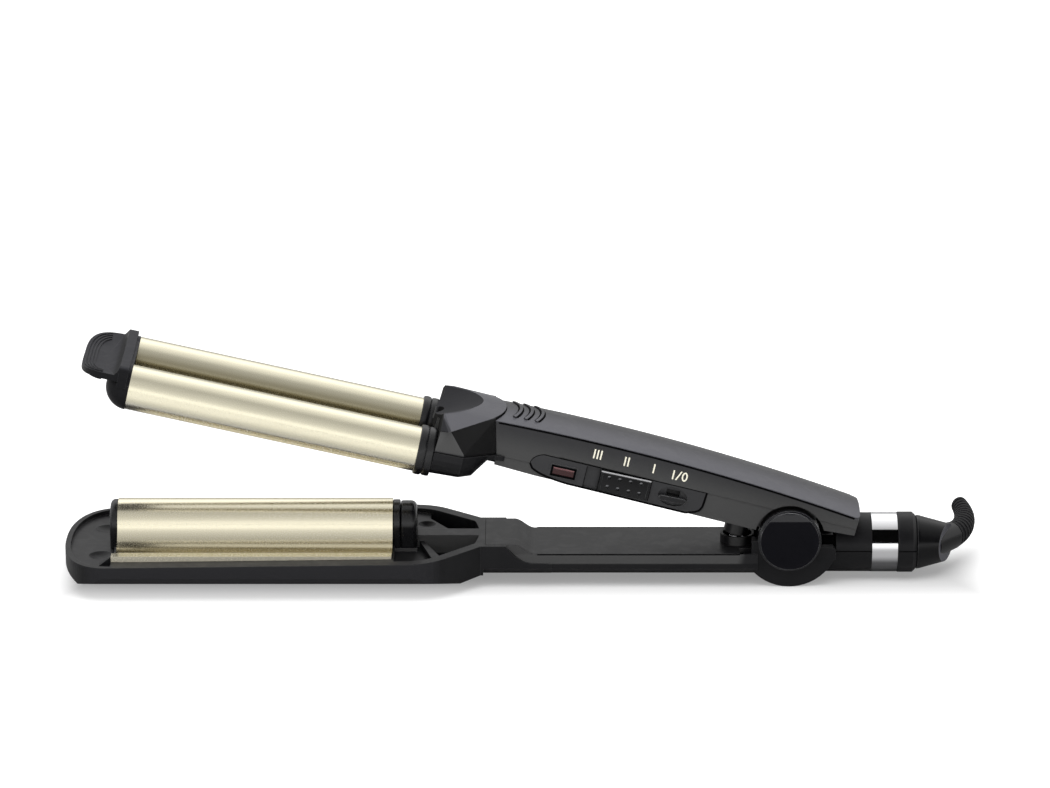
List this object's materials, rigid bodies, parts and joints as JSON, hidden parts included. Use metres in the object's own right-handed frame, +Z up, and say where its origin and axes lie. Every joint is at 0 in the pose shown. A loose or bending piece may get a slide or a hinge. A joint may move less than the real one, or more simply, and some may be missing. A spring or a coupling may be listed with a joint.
{
  "type": "hair_waver",
  "caption": "Hair waver with gold barrels on a hinged black upper arm that closes over a gold wave-shaped plate, with slide controls and a swivel cord outlet.",
  "frame": {"origin": "centre of the bounding box seen from above, on the plane that the lower arm rests on", "axes": "X runs from the tips at -X to the cord outlet at +X, Y across to the back, Z up from the rest plane"},
  "size_m": [0.39, 0.078, 0.1013],
  "materials": {
    "gold_coating": "satin",
    "black_housing": "satin",
    "black_gloss": "gloss",
    "collar_black": "satin",
    "chrome": "polished",
    "steel": "satin",
    "aluminium": "satin",
    "rubber_black": "matte",
    "lamp_red": "gloss",
    "insulator": "matte",
    "board_green": "satin",
    "heater_film": "gloss"
  },
  "bodies": {
    "lower_arm": {"lower_shell": "black_housing", "lower_cover": "black_housing", "rear_cover": "black_housing", "wave_plate": "gold_coating", "plate_tip_collar": "collar_black", "plate_heel_ring": "collar_black", "plate_heel_collar": "collar_black", "plate_heat_block": "aluminium", "plate_heater": "heater_film", "plate_support": "insulator", "chrome_ring": "chrome", "rear_collar": "black_housing", "hinge_pin": "steel", "hinge_cap_front": "black_gloss", "hinge_cap_back": "black_gloss", "spring_cup": "black_housing", "return_spring": "steel", "lower_screws": "steel"},
    "upper_arm": {"upper_shell": "black_housing", "upper_cover": "black_housing", "head_top": "black_housing", "head_base": "black_housing", "front_barrel": "gold_coating", "rear_barrel": "gold_coating", "barrel_rings": "collar_black", "tip_cap": "black_housing", "front_heater": "aluminium", "rear_heater": "aluminium", "control_panel": "black_gloss", "lamp_lens": "lamp_red", "lamp_led": "lamp_red", "circuit_board": "board_green", "heat_switch": "black_housing", "power_switch": "black_housing", "thermal_fuse": "steel", "spring_post": "black_housing", "upper_screws": "steel"},
    "heat_slider": {"heat_slider": "black_housing"},
    "power_slide": {"power_slide": "black_housing"},
    "cord_swivel": {"cord_swivel": "black_housing", "cord_boot": "rubber_black"}
  },
  "joints": [
    {"name": "jaw_hinge", "type": "hinge", "parent": "lower_arm", "child": "upper_arm", "pos_m": [0.113, 0, 0.0208], "axis": [0, -1, 0], "range_deg": [0, 12.8], "stiffness_Nm_per_rad": 2, "springref_deg": -14.32, "deforming": ["return_spring"]},
    {"name": "heat_slide", "type": "slide", "parent": "upper_arm", "child": "heat_slider", "axis": [-0.9751, 0, 0.2215], "range_m": [0, 0.006]},
    {"name": "power_slide", "type": "slide", "parent": "upper_arm", "child": "power_slide", "axis": [0.2215, 0, 0.9751], "range_m": [0, 0.0024]},
    {"name": "cord_swivel", "type": "hinge", "parent": "lower_arm", "child": "cord_swivel", "pos_m": [0.165, 0, 0.0144], "axis": [1, 0, 0], "continuous": true}
  ]
}
